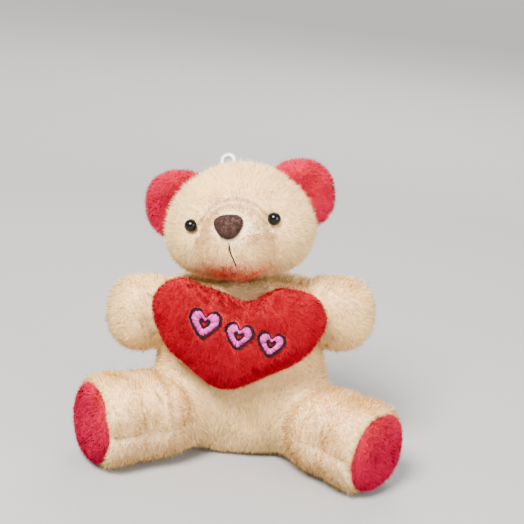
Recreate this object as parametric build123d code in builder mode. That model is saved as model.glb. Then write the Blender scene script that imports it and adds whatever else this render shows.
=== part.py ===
"""Seated plush bear keychain holding a heart cushion.

Units are millimetres. +Z is up, the bear faces -Y, and the origin is on the floor at the middle of the
flat seat. "left" and "right" are the bear's own sides: its left is +X.

Every soft part is made as it is sewn: fabric panels that meet at a seam, around a filling. The head,
arms, legs and hanging loop are each free to move in their own sockets, so they stay clear of the body.
"""

import os
from math import atan2, cos, degrees, radians, sin, sqrt

from build123d import *

# ---------------------------------------------------------------- driving dimensions
FABRIC = 1.2  # plush backing with its pressed pile
JOINT_GAP = 0.6  # between a limb's rounded root and the socket it sits in
SIDES = {"left": 1, "right": -1}

# Closing stitches up the middle of the back
STITCH_FROM, STITCH_PITCH, STITCH_COUNT = 16, 3.2, 6
STITCH_LENGTH = 3.4

# Upper body: everything above the hips leans to the bear's right, in a frame of its own
LEAN = 5.5

# Torso sections in the leaning frame: height, half width, half depth
TORSO_Y = -1.0
TORSO_SECTIONS = [
    (-4, 24.5, 15.2),
    (5, 28, 17.4),
    (15, 29.3, 18.2),
    (30, 28.4, 18),
    (42, 25, 16.5),
    (52, 19, 14),
    (58, 13, 11),
    (61.6, 8, 7.5),
]

# Head: an egg lying on its side, with a round muzzle
HEAD_CENTRE = (0.4, -3.0, 81.8)
HEAD_TILT = (-15, -5, -7)  # face up, crown to the right, face to the right
HEAD_HALF_WIDTH = 25.3
HEAD_RADIUS = 19.3
MUZZLE_CENTRE = (0, -11, -4)
MUZZLE_RADIUS = 14.0

# Ears
EAR_X, EAR_Y, EAR_Z = 21.2, 1.0, 8.5
EAR_RADIUS = 11.3
EAR_THICKNESS = 6.0
EAR_EDGE = 2.4

# Plastic fittings: eyes, nose, hanging loop
EYE_X, EYE_Z = 14.0, 1.0
EYE_RADIUS = 2.3
STEM_RADIUS = 0.8
STEM_LENGTH = 4.6
WASHER_RADIUS = 2.8
WASHER_THICKNESS = 0.8
WASHER_DEPTH = FABRIC + 0.6  # of its outer face, under the surface
STEM_FIT = 0.05  # radial clearance of a stem in fabric or washer
NOSE_WIDTH, NOSE_HEIGHT, NOSE_DOME = 9.4, 8.0, 2.8
NOSE_EDGE = 2.2
NOSE_SUNK = 1.5  # of its back, under the muzzle's surface
NOSE_PITCH = 16  # above the muzzle's middle, seen from its centre
MOUTH_FROM, MOUTH_TO = -6, -46  # along the muzzle, from its middle
THREAD_RADIUS = 0.3

LOOP_X = -3.5
LOOP_BACK = 15  # degrees behind the crown
LOOP_EYE_HEIGHT = 22.6  # of the loop's hole, above the head's centre
LOOP_RADIUS = 3.0
LOOP_HOLE_RADIUS = 1.1
LOOP_THICKNESS = 2.0
LOOP_STEM_RADIUS = 1.2
LOOP_STEM_OVERLAP = 0.8  # of the stem into the eye
LOOP_FLANGE_RADIUS = 4.2
LOOP_FLANGE_THICKNESS = 1.0
LOOP_FLANGE_DEPTH = 2.0  # of the flange's top, under the head's surface

# Arms, in the leaning frame
SHOULDER = (24, -2, 50)
ARM_RADIUS = 10.8
ARM_REACH = 23.0  # from the shoulder to the tip
ARM_DROP = 3  # degrees below level
ARM_FORWARD = 6  # degrees in front of straight out
ARM_SWELL = 0.7  # of the forearm, over its root

# Legs, in the floor's frame: hip place, and how far each leg turns out from straight ahead
HIPS = {"left": (26, -17.5), "right": (-28, -18)}
LEG_TURNOUT = {"left": 51, "right": 60}
HIP_RADIUS = 13.4
THIGH_RADIUS = 14.9
HIP_HEIGHT = 15.0
FOOT_RADIUS = 14.3
LEG_LENGTH = {"left": 27.0, "right": 28.0}  # from the hip to the sole
SOLE_RIM = 3.4
SOLE_RADIUS = 12.4
SOLE_DOME = 2.2

# Heart cushion, in its own upright plane in the leaning frame: outline anticlockwise from the cleft
HEART_CENTRE = (0.6, -22.4, 49.2)
HEART_LEAN_BACK = 9
HEART_OUTLINE = [
    (2.7, 11.6),
    (-9.9, 15.8),
    (-20.8, 18.9),
    (-28.7, 12.0),
    (-26.5, -1.6),
    (-15.1, -14.0),
    (-6.4, -18.7),
    (6.8, -16.2),
    (21.8, -7.8),
    (28.9, 3.1),
    (25.5, 12.7),
    (14.6, 15.2),
]
HEART_THICKNESS = 10.4
HEART_RIM = 0.6  # straight side of each half, beside the seam

TACK_PLACES = [(-5, 1), (0, -2), (5, 1)]
TACK_LENGTH = 4.0  # before it meets the chest

# Embroidered motif on the heart: a row of open hearts of satin stitch, edged in black
MOTIF_PLACES = [(-11.4, 4.4, 1.12), (0.0, 0.2, 1.0), (10.6, -2.6, 0.96)]  # across, up, scale
MOTIF_TILT = -12
MOTIF_WIDTH = 9.6
MOTIF_OUTLINE = [
    (0, 0.45),
    (-0.42, 0.84),
    (-0.88, 0.7),
    (-1, 0.2),
    (-0.6, -0.42),
    (0, -0.95),
    (0.6, -0.42),
    (1, 0.2),
    (0.88, 0.7),
    (0.42, 0.84),
]
MOTIF_OPENING = 0.4  # width of the opening, as a share of the heart's
OUTLINE_WIDTH = 0.5
STITCH_HEIGHT = 0.6
OUTLINE_HEIGHT = 0.4

# ---------------------------------------------------------------- frames
lean_frame = Plane(
    origin=(0, 0, 0),
    x_dir=(cos(radians(LEAN)), 0, sin(radians(LEAN))),
    z_dir=(-sin(radians(LEAN)), 0, cos(radians(LEAN))),
)
head_frame = Plane(lean_frame.location * Location(HEAD_CENTRE, HEAD_TILT))
muzzle_frame = Plane(head_frame.location * Location(MUZZLE_CENTRE))
heart_frame = Plane(
    lean_frame.location * Location(HEART_CENTRE, (90 - HEART_LEAN_BACK, 0, 0))
)  # its Z points forward, out of the heart's face
seam_plane = Plane(origin=(0, TORSO_Y, 0), z_dir=(0, -1, 0))
back_seam_plane = Plane(origin=lean_frame.origin, z_dir=lean_frame.x_dir)
head_seam = Plane(origin=head_frame.origin, x_dir=head_frame.x_dir, z_dir=-head_frame.y_dir)


def shoulder_point(side):
    """The shoulder's place in the floor's frame."""
    x, y, z = SHOULDER
    return lean_frame.from_local_coords((x * side, y, z))


def hip_point(name):
    return Vector(*HIPS[name], HIP_HEIGHT)


# ---------------------------------------------------------------- shared shapes
def inset_points(points, amount):
    """A closed outline, drawn anticlockwise, moved inwards."""
    moved = []
    for i, (x, y) in enumerate(points):
        before, after = points[i - 1], points[(i + 1) % len(points)]
        along = (after[0] - before[0], after[1] - before[1])
        length = sqrt(along[0] ** 2 + along[1] ** 2)
        moved.append((x - along[1] / length * amount, y + along[0] / length * amount))
    return moved


def ball(frame, radius):
    """A closed ball at the frame's origin."""
    with BuildPart(frame) as body:
        Sphere(radius)
    return body.part


def torso_body(inset):
    """The torso's outer form, or its filling when inset by the fabric, with a flat seat."""
    with BuildPart() as body:
        for height, half_width, half_depth in TORSO_SECTIONS:
            top_section = height == TORSO_SECTIONS[-1][0]
            with BuildSketch(lean_frame.offset(height - (inset if top_section else 0))):
                with Locations((0, TORSO_Y)):
                    Ellipse(half_width - inset, half_depth - inset)
        loft()
        split(bisect_by=Plane.XY.offset(inset), keep=Keep.TOP)
    return body.part


def cut_sockets():
    """Rounded hollows for the roots of the arms and legs, cut from the part being built."""
    for name, side in SIDES.items():
        add(ball(Plane(shoulder_point(side)), ARM_RADIUS + JOINT_GAP), mode=Mode.SUBTRACT)
        add(ball(Plane(hip_point(name)), HIP_RADIUS + JOINT_GAP), mode=Mode.SUBTRACT)


def arm_outline(inset):
    """Round root at the shoulder, then a fuller forearm with a blunt tip."""
    radius = ARM_RADIUS - inset
    tip = ARM_REACH - inset
    wrist = (0.5 * ARM_REACH, radius + ARM_SWELL)
    root = CenterArc((0, 0), radius, 90, 90)
    Spline((0, radius), wrist, (tip, 0), tangents=((1, 0), (0, -1)))
    Line((tip, 0), root @ 1)


def leg_outline(length, inset):
    """Round root at the hip, a full thigh, and a flat sole with a rounded rim."""
    radius = HIP_RADIUS - inset
    end = length - inset
    thigh = (0.42 * length, THIGH_RADIUS - inset)
    rim = SOLE_RIM - inset / 2
    ankle = (end - rim, FOOT_RADIUS - inset)
    sole = (end, FOOT_RADIUS - inset - rim)
    root = CenterArc((0, 0), radius, 90, 90)
    Spline((0, radius), thigh, ankle, tangents=((1, 0.3), (1, -0.12)))
    RadiusArc(ankle, sole, rim)
    Line(sole, (end, 0))
    Line((end, 0), root @ 1)


def egg(inset):
    """The head's outer form, or its filling when inset by the fabric."""
    with BuildPart() as body:
        Sphere(1)
        scale(by=(HEAD_HALF_WIDTH - inset, HEAD_RADIUS - inset, HEAD_RADIUS - inset))
    return body.part.moved(head_frame.location)


def turned_body(flat, outline, inset):
    """A closed round body: the outline in the flat plane, turned about that plane's X axis."""
    with BuildPart() as body:
        with BuildSketch(flat):
            with BuildLine():
                outline(inset)
            make_face()
        revolve(axis=Axis(flat.origin, flat.x_dir))
    return body.part


def turned_panel(flat, outline, turn):
    """One half of a fabric cover, from the seam in the flat plane round to its other side."""
    with BuildPart() as panel:
        with BuildSketch(flat):
            with BuildLine():
                outline(0)
            make_face()
            with BuildLine():
                outline(FABRIC)
            make_face(mode=Mode.SUBTRACT)
        revolve(axis=Axis(flat.origin, flat.x_dir), revolution_arc=turn)
    return panel.part


def post(frame, radius, start, end):
    """A round post along the frame's Z, from start to end."""
    with BuildPart() as body:
        with BuildSketch(frame.offset(start)):
            Circle(radius)
        extrude(amount=end - start)
    return body.part


def washer(frame, depth, radius, thickness, hole_radius):
    """A flat washer on a stem, its outer face at that depth under the frame."""
    with BuildPart() as body:
        with BuildSketch(frame.offset(-depth)):
            Circle(radius)
            Circle(hole_radius, mode=Mode.SUBTRACT)
        extrude(amount=-thickness)
    return body.part


def save(name, part):
    part.label = name
    export_step(part, f"parts/{name}.step")


# ---------------------------------------------------------------- torso
def make_torso():
    outer, inner = torso_body(0), torso_body(FABRIC)
    with BuildPart() as front:
        add(outer)
        add(inner, mode=Mode.SUBTRACT)
        split(bisect_by=seam_plane, keep=Keep.TOP)
        cut_sockets()
    with BuildPart() as back:
        add(outer)
        add(inner, mode=Mode.SUBTRACT)
        split(bisect_by=seam_plane, keep=Keep.BOTTOM)
        cut_sockets()
    with BuildPart() as filling:
        add(inner)
        cut_sockets()
    save("torso_front_panel", front.part)
    for name, keep in (("left", Keep.TOP), ("right", Keep.BOTTOM)):
        with BuildPart() as half:
            add(back.part)
            split(bisect_by=back_seam_plane, keep=keep)
        save(f"torso_{name}_back_panel", half.part)
    save("torso_filling", filling.part)
    return outer


def make_closing_stitches(torso):
    """Short slanting stitches that close the middle of the back."""
    with BuildPart() as stitches:
        for step in range(STITCH_COUNT):
            height = STITCH_FROM + step * STITCH_PITCH
            hit = torso.find_intersection_points(
                Axis(lean_frame.from_local_coords((0, 60, height)), lean_frame.y_dir * -1)
            )[0][0]
            across = lean_frame.x_dir + lean_frame.z_dir * 0.5
            with BuildSketch(Plane(origin=hit - across * (STITCH_LENGTH / 2), z_dir=across)):
                Circle(THREAD_RADIUS)
            extrude(amount=STITCH_LENGTH)
        add(torso, mode=Mode.SUBTRACT)
    save("back_closing_stitches", stitches.part)


# ---------------------------------------------------------------- head
def on_egg(x, z):
    """A frame on the front of the head, its Z pointing straight out of the surface there."""
    y = -sqrt(HEAD_RADIUS**2 * (1 - (x / HEAD_HALF_WIDTH) ** 2) - z**2)
    out = Vector(x / HEAD_HALF_WIDTH**2, y / HEAD_RADIUS**2, z / HEAD_RADIUS**2)
    place = head_frame.from_local_coords((x, y, z))
    return Plane(origin=place, z_dir=turned(out))


def turned(direction):
    """A direction in the head's frame, as one in the floor's frame."""
    tip = head_frame.from_local_coords(tuple(direction))
    return (tip - head_frame.origin).normalized()


eye_frames = {name: on_egg(EYE_X * side, EYE_Z) for name, side in SIDES.items()}
nose_out = turned(Vector(0, -cos(radians(NOSE_PITCH)), sin(radians(NOSE_PITCH))))
nose_frame = Plane(
    origin=muzzle_frame.origin + nose_out * MUZZLE_RADIUS,
    x_dir=head_frame.x_dir,
    z_dir=nose_out,
)
LOOP_TOP = HEAD_RADIUS * sqrt(1 - (LOOP_X / HEAD_HALF_WIDTH) ** 2)  # head's height there
loop_frame = Plane(
    head_frame.location * Location((LOOP_X, 0, 0), (-LOOP_BACK, 0, 0)) * Location((0, 0, LOOP_TOP))
)


def make_head():
    outer, inner = egg(0), egg(FABRIC)
    muzzle = ball(muzzle_frame, MUZZLE_RADIUS)
    muzzle_inner = ball(muzzle_frame, MUZZLE_RADIUS - FABRIC)

    with BuildPart() as face_panel:
        add(outer)
        add(inner, mode=Mode.SUBTRACT)
        split(bisect_by=head_seam, keep=Keep.TOP)
        for frame in eye_frames.values():
            add(post(frame, STEM_RADIUS + STEM_FIT, -3 * FABRIC, FABRIC), mode=Mode.SUBTRACT)
    with BuildPart() as back_panel:
        add(outer)
        add(inner, mode=Mode.SUBTRACT)
        split(bisect_by=head_seam, keep=Keep.BOTTOM)
        add(post(loop_frame, LOOP_STEM_RADIUS + STEM_FIT, -3 * FABRIC, FABRIC), mode=Mode.SUBTRACT)
    with BuildPart() as filling:
        add(inner)
        for frame in eye_frames.values():
            add(post(frame, WASHER_RADIUS + FABRIC, -STEM_LENGTH - FABRIC, FABRIC), mode=Mode.SUBTRACT)
        add(
            post(loop_frame, LOOP_FLANGE_RADIUS + FABRIC, -LOOP_FLANGE_DEPTH - 3 * FABRIC, FABRIC),
            mode=Mode.SUBTRACT,
        )
    save("head_face_panel", face_panel.part)
    save("head_back_panel", back_panel.part)
    save("head_filling", filling.part)

    nose_hole = post(nose_frame, STEM_RADIUS + STEM_FIT, -STEM_LENGTH - FABRIC, FABRIC)
    with BuildPart() as muzzle_panel:
        add(muzzle)
        add(muzzle_inner, mode=Mode.SUBTRACT)
        add(outer, mode=Mode.SUBTRACT)
        add(nose_hole, mode=Mode.SUBTRACT)
    with BuildPart() as muzzle_filling:
        add(muzzle_inner)
        add(outer, mode=Mode.SUBTRACT)
        add(post(nose_frame, WASHER_RADIUS + FABRIC, -STEM_LENGTH - 4 * FABRIC, FABRIC), mode=Mode.SUBTRACT)
    save("muzzle_panel", muzzle_panel.part)
    save("muzzle_filling", muzzle_filling.part)
    return outer, muzzle


def make_face_fittings(muzzle):
    for name, frame in eye_frames.items():
        with BuildPart() as eye:
            add(ball(frame, EYE_RADIUS))
            split(bisect_by=frame, keep=Keep.TOP)
            add(post(frame, STEM_RADIUS, -STEM_LENGTH, 0.2))
        save(f"{name}_eye", eye.part)
        grip = washer(frame, WASHER_DEPTH, WASHER_RADIUS, WASHER_THICKNESS, STEM_RADIUS + STEM_FIT)
        save(f"{name}_eye_washer", grip)

    with BuildPart() as nose:
        with BuildSketch(nose_frame.offset(-NOSE_SUNK)):
            with BuildLine():
                Spline(
                    (0, -NOSE_HEIGHT / 2),
                    (NOSE_WIDTH / 2, NOSE_HEIGHT * 0.16),
                    (0, NOSE_HEIGHT / 2),
                    (-NOSE_WIDTH / 2, NOSE_HEIGHT * 0.16),
                    periodic=True,
                )
            make_face()
        extrude(amount=NOSE_DOME + NOSE_SUNK)
        fillet(nose.faces().sort_by(Axis(nose_frame.origin, nose_frame.z_dir))[-1].edges(), NOSE_EDGE)
        add(muzzle, mode=Mode.SUBTRACT)
        add(post(nose_frame, STEM_RADIUS, -STEM_LENGTH, 0.5))
    save("nose", nose.part)
    grip = washer(nose_frame, WASHER_DEPTH, WASHER_RADIUS, WASHER_THICKNESS, STEM_RADIUS + STEM_FIT)
    save("nose_washer", grip)

    # The mouth is a thread that lies on the muzzle, down the middle
    line_radius = MUZZLE_RADIUS + THREAD_RADIUS
    upright = Plane(origin=muzzle_frame.origin, x_dir=-head_frame.y_dir, z_dir=head_frame.x_dir * -1)
    with BuildPart() as mouth:
        with BuildLine(upright) as route:
            CenterArc((0, 0), line_radius, MOUTH_FROM, MOUTH_TO - MOUTH_FROM)
        with BuildSketch(Plane(origin=route.line @ 0, z_dir=route.line % 0)):
            Circle(THREAD_RADIUS)
        sweep()
    save("mouth_thread", mouth.part)


def make_ears(head):
    for name, side in SIDES.items():
        middle = Plane(
            origin=head_frame.from_local_coords((EAR_X * side, EAR_Y, EAR_Z)),
            x_dir=head_frame.x_dir,
            z_dir=-head_frame.y_dir,
        )
        with BuildPart() as whole:
            with BuildSketch(middle):
                Circle(EAR_RADIUS)
            extrude(amount=EAR_THICKNESS / 2, both=True)
            fillet(whole.edges().filter_by(GeomType.CIRCLE), EAR_EDGE)
            add(head, mode=Mode.SUBTRACT)
        for panel, keep in (("front", Keep.TOP), ("back", Keep.BOTTOM)):
            with BuildPart() as half:
                add(whole.part)
                split(bisect_by=middle, keep=keep)
            save(f"{name}_ear_{panel}_panel", half.part)


# ---------------------------------------------------------------- hanging loop
def make_hang_loop():
    """A moulded eye on a stem, held inside the head by its flange."""
    eye_height = LOOP_EYE_HEIGHT - LOOP_TOP
    ring_plane = Plane(
        origin=loop_frame.origin + loop_frame.z_dir * eye_height,
        x_dir=loop_frame.x_dir,
        z_dir=-loop_frame.y_dir,
    )
    with BuildPart() as loop:
        with BuildSketch(ring_plane):
            Circle(LOOP_RADIUS)
        extrude(amount=LOOP_THICKNESS / 2, both=True)
        flange_back = -LOOP_FLANGE_DEPTH - LOOP_FLANGE_THICKNESS
        stem_top = eye_height - LOOP_RADIUS + LOOP_STEM_OVERLAP
        add(post(loop_frame, LOOP_STEM_RADIUS, -LOOP_FLANGE_DEPTH - LOOP_FLANGE_THICKNESS / 2, stem_top))
        add(post(loop_frame, LOOP_FLANGE_RADIUS, flange_back, -LOOP_FLANGE_DEPTH))
        with BuildSketch(ring_plane):
            Circle(LOOP_HOLE_RADIUS)
        extrude(amount=LOOP_THICKNESS, both=True, mode=Mode.SUBTRACT)
    save("hang_loop", loop.part)


# ---------------------------------------------------------------- arms
def make_arms():
    for name, side in SIDES.items():
        out = lean_frame.from_local_coords(
            (
                side * cos(radians(ARM_DROP)) * cos(radians(ARM_FORWARD)),
                -sin(radians(ARM_FORWARD)),
                -sin(radians(ARM_DROP)),
            )
        ).normalized()
        # The seam runs along the top and the underside of the arm
        forward = out.cross(Vector(0, 0, 1)).normalized() * side
        seam = Plane(origin=shoulder_point(side), x_dir=out, z_dir=forward)
        save(f"{name}_arm_front_panel", turned_panel(seam, arm_outline, 180))
        save(f"{name}_arm_back_panel", turned_panel(seam, arm_outline, -180))
        save(f"{name}_arm_filling", turned_body(seam, arm_outline, FABRIC))


# ---------------------------------------------------------------- legs
def make_legs():
    for name, side in SIDES.items():
        turnout = radians(LEG_TURNOUT[name])
        out = Vector(side * sin(turnout), -cos(turnout), 0)
        seam = Plane(origin=hip_point(name), x_dir=out, z_dir=(0, 0, 1))
        length = LEG_LENGTH[name]

        def outline(inset):
            leg_outline(length, inset)

        save(f"{name}_leg_top_panel", turned_panel(seam, outline, 180))
        save(f"{name}_leg_under_panel", turned_panel(seam, outline, -180))
        save(f"{name}_leg_filling", turned_body(seam, outline, FABRIC))

        # The sole pad is a shallow dome on the flat end of the foot
        dome_radius = (SOLE_RADIUS**2 + SOLE_DOME**2) / (2 * SOLE_DOME)
        half_angle = degrees(atan2(SOLE_RADIUS, dome_radius - SOLE_DOME))
        end = Plane(origin=seam.origin + out * length, x_dir=out, z_dir=seam.z_dir)
        with BuildPart() as pad:
            with BuildSketch(end):
                with BuildLine():
                    rim = CenterArc((SOLE_DOME - dome_radius, 0), dome_radius, 0, half_angle)
                    Polyline(rim @ 0, (0, 0), rim @ 1)
                make_face()
            revolve(axis=Axis(end.origin, end.x_dir))
        save(f"{name}_sole_pad", pad.part)


# ---------------------------------------------------------------- heart cushion
def heart_half(inset, way):
    """Half of the cushion with a soft edge: way is 1 for its front, -1 for its back."""
    half = HEART_THICKNESS / 2 - inset
    with BuildPart() as body:
        with BuildSketch(heart_frame):
            with BuildLine():
                Spline(*inset_points(HEART_OUTLINE, inset), periodic=True)
            make_face()
        extrude(amount=half * way)
        outward = Axis(heart_frame.origin, heart_frame.z_dir * way)
        fillet(body.faces().sort_by(outward)[-1].edges(), half - HEART_RIM)
    return body.part


def motif_outline(across, up, size, shrink, inset):
    """One heart of the row: its outline shrunk about its middle, then moved inwards."""
    half = MOTIF_WIDTH * size / 2 * shrink
    turn = radians(MOTIF_TILT)
    points = inset_points([(x * half, y * half) for x, y in MOTIF_OUTLINE], inset)
    return [
        (across + x * cos(turn) - y * sin(turn), up + x * sin(turn) + y * cos(turn)) for x, y in points
    ]


def motif(plane, height, outside, inside):
    """The row of open hearts in one stitch colour, between two edges given as (shrink, inset)."""
    with BuildPart() as stitches:
        for place in MOTIF_PLACES:
            with BuildSketch(plane):
                with BuildLine():
                    Spline(*motif_outline(*place, *outside), periodic=True)
                make_face()
                with BuildLine():
                    Spline(*motif_outline(*place, *inside), periodic=True)
                make_face(mode=Mode.SUBTRACT)
            extrude(amount=height)
    return stitches.part


def make_heart(torso):
    for name, way in (("front", 1), ("back", -1)):
        with BuildPart() as panel:
            add(heart_half(0, way))
            add(heart_half(FABRIC, way), mode=Mode.SUBTRACT)
        save(f"heart_{name}_panel", panel.part)
    with BuildPart() as filling:
        add(heart_half(FABRIC, 1))
        add(heart_half(FABRIC, -1))
    save("heart_filling", filling.part)

    # Tacks from the middle of the cushion's back to the chest
    with BuildPart() as tacks:
        for across, up in TACK_PLACES:
            with BuildSketch(heart_frame.offset(-HEART_THICKNESS / 2)):
                with Locations((across, up)):
                    Circle(THREAD_RADIUS)
            extrude(amount=-TACK_LENGTH)
        add(torso, mode=Mode.SUBTRACT)
    save("heart_tack_threads", tacks.part)

    face = heart_frame.offset(HEART_THICKNESS / 2)
    edge = (1, OUTLINE_WIDTH)
    save("heart_outline_stitching", motif(face, OUTLINE_HEIGHT, (1, 0), edge))
    save("heart_satin_stitching", motif(face, STITCH_HEIGHT, edge, (MOTIF_OPENING, 0)))


# ---------------------------------------------------------------- the whole bear
os.makedirs("parts", exist_ok=True)
torso_outer = make_torso()
make_closing_stitches(torso_outer)
head_outer, muzzle_outer = make_head()
make_face_fittings(muzzle_outer)
make_ears(head_outer)
make_hang_loop()
make_arms()
make_legs()
make_heart(torso_outer)
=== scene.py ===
"""The plush bear's looks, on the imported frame: sewn skins, cut pile, embroidery and plastic fittings."""

from math import cos, pi, radians, sin

import bmesh
import bpy
import numpy as np
from mathutils import Matrix, Vector
from mathutils.kdtree import KDTree


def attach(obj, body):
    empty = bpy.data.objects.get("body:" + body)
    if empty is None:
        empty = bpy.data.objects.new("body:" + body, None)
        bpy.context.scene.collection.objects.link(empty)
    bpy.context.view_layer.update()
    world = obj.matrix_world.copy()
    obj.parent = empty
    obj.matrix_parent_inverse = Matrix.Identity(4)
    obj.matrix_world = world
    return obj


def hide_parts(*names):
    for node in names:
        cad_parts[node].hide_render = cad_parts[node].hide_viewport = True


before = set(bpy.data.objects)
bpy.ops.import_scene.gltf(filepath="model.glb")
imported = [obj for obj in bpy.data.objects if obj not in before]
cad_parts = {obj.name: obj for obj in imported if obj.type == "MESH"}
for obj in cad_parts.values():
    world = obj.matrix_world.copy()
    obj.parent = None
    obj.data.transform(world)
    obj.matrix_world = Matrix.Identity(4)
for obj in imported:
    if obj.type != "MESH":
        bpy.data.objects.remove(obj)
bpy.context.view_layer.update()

MM = 0.001
rng = np.random.default_rng(20317)

# ---------------------------------------------------------------- places and frames, in millimetres
LEAN = radians(5.5)  # the whole bear leans to its right
HEAD_CENTRE = (0.4, -3, 81.8)
HEAD_TILT = {"X": -15, "Y": -5, "Z": -7}
HEART_CENTRE, HEART_SLOPE = (0.6, -22.4, 49.2), 81
SHOULDER = (24, -2, 50)
ARM_DROP, ARM_FORWARD = radians(3), radians(6)
HIP = {"left": (26, -17.5, 15), "right": (-28, -18, 15)}
TURNOUT = {"left": radians(51), "right": radians(60)}
LEG_LENGTH = {"left": 27.0, "right": 28.0}
SIDES = {"left": 1, "right": -1}
EAR_PLACE = np.array((21.2, 1, 8.5))
EYE = np.array((14.0, -16.0, 1.0))
NOSE_PITCH = radians(16)
NOSE_PLACE = np.array((0, -11 - 13.4 * cos(NOSE_PITCH), -4 + 13.4 * sin(NOSE_PITCH)))


def rotation(axis, degrees):
    return np.array(Matrix.Rotation(radians(degrees), 3, axis))


def mirrored(point, side):
    """A place on the left side, or its mirror image on the right."""
    return np.array((point[0] * side, *point[1:]))


class Frame:
    """A local frame: its origin, and rows of axes that are its X, Y and Z in the bear's frame."""

    def __init__(self, origin, axes):
        self.o = np.array(origin, float)
        self.a = np.array(axes, float)

    def out(self, points):
        return self.o + np.asarray(points, float) @ self.a

    def into(self, points):
        return (np.asarray(points, float) - self.o) @ self.a.T

    def turn(self, vectors):
        return np.asarray(vectors, float) @ self.a


lean = Frame((0, 0, 0), [(cos(LEAN), 0, sin(LEAN)), (0, 1, 0), (-sin(LEAN), 0, cos(LEAN))])
head_turn = rotation("X", HEAD_TILT["X"]) @ rotation("Y", HEAD_TILT["Y"]) @ rotation("Z", HEAD_TILT["Z"])
head = Frame(lean.out(HEAD_CENTRE), lean.turn(head_turn.T))
heart = Frame(lean.out(HEART_CENTRE), lean.turn(rotation("X", HEART_SLOPE).T))


def arm_frame(side):
    level = cos(ARM_DROP) * cos(ARM_FORWARD)
    out = lean.turn((side * level, -sin(ARM_FORWARD), -sin(ARM_DROP)))
    out /= np.linalg.norm(out)
    forward = np.cross(out, (0, 0, 1)) * side
    forward /= np.linalg.norm(forward)
    return Frame(lean.out(mirrored(SHOULDER, side)), [out, forward, np.cross(out, forward)])


def leg_frame(name):
    out = np.array((SIDES[name] * sin(TURNOUT[name]), -cos(TURNOUT[name]), 0))
    return Frame(HIP[name], [out, np.cross((0, 0, 1), out), (0, 0, 1)])


def ear_frame(side):
    return Frame(head.out(mirrored(EAR_PLACE, side)), head.a)


# ---------------------------------------------------------------- soft forms
def blob(p, centre, radii, power=2.0):
    """Signed size of a rounded box-like egg: negative inside."""
    q = np.abs((p - np.array(centre, float)) / np.array(radii, float))
    return ((q**power).sum(1) ** (1 / power) - 1) * min(radii)


def merge(a, b, soft):
    h = np.clip(0.5 + 0.5 * (b - a) / soft, 0, 1)
    return b + (a - b) * h - soft * h * (1 - h)


def trim(a, b, soft):
    return -merge(-a, -b, soft)


def waves(seed, short, long, count=10):
    """A smooth noise of points in mm, about -1 to 1, with wavelengths from short to long."""
    r = np.random.default_rng(seed)
    k = r.normal(size=(count, 3))
    k /= np.linalg.norm(k, axis=1)[:, None]
    k *= (2 * pi / np.exp(r.uniform(np.log(short), np.log(long), count)))[:, None]
    phase = r.uniform(0, 2 * pi, count)
    return lambda p: np.sin(p @ k.T + phase).sum(1) / np.sqrt(count) * 0.8


def mesh_object(name, verts, faces, material_list):
    mesh = bpy.data.meshes.new(name)
    mesh.from_pydata([tuple(v) for v in verts], [], [tuple(f) for f in faces])
    for m in material_list:
        mesh.materials.append(m)
    mesh.shade_smooth()
    mesh.update()
    obj = bpy.data.objects.new(name, mesh)
    bpy.context.scene.collection.objects.link(obj)
    return obj


ICO = {}  # sphere meshes already made, by detail


def sphere_mesh(detail):
    """Directions all round, and the triangles between them."""
    if detail not in ICO:
        bm = bmesh.new()
        bmesh.ops.create_icosphere(bm, subdivisions=detail, radius=1)
        ICO[detail] = (
            np.array([v.co for v in bm.verts]),
            np.array([[v.index for v in f.verts] for f in bm.faces]),
        )
        bm.free()
    return ICO[detail]


HALVINGS = 22
LUMP_SHORT, LUMP_LONG = 9, 26  # wavelengths of the filling's lumps, in mm


def reach_to(form, centre, rays, reach):
    """Where rays from centre leave a form: local points in mm."""
    low, high = np.zeros(len(rays)), np.full(len(rays), float(reach))
    centre = np.array(centre, float)
    for _ in range(HALVINGS):
        middle = (low + high) / 2
        inside = form(centre + rays * middle[:, None]) < 0
        low, high = np.where(inside, middle, low), np.where(inside, high, middle)
    return centre + rays * low[:, None]


def vertex_normals(points, faces):
    a, b, c = points[faces[:, 0]], points[faces[:, 1]], points[faces[:, 2]]
    n = np.cross(b - a, c - a)
    total = np.zeros_like(points)
    for i in range(3):
        np.add.at(total, faces[:, i], n)
    return total / np.maximum(np.linalg.norm(total, axis=1), 1e-12)[:, None]


class Skin:
    """One sewn skin: points in the bear's frame in mm, triangles and normals."""

    def __init__(self, where, form, centre, reach, bumps, seed, detail=6):
        rays, self.faces = sphere_mesh(detail)
        local = reach_to(form, centre, rays, reach)
        self.where = where
        self.points = where.out(local)
        self.normals = vertex_normals(self.points, self.faces)
        lumps = waves(seed, LUMP_SHORT, LUMP_LONG)(self.points) * bumps
        self.points = self.points + self.normals * lumps[:, None]
        self.normals = vertex_normals(self.points, self.faces)

    def keep(self, test):
        """The triangles whose middle passes the test of local points."""
        middle = self.where.into(self.points[self.faces].mean(1))
        return self.faces[test(middle)]


CLOTH_SCALE = 20  # the cloth solver works badly on millimetres
CLOTH_FRAMES = 16
CLOTH_SLACK = 0.05  # how much larger the cloth is than the form, as a share
SEAM_HELD = 0.5  # how near a seam the cloth is held, in mm


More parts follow.
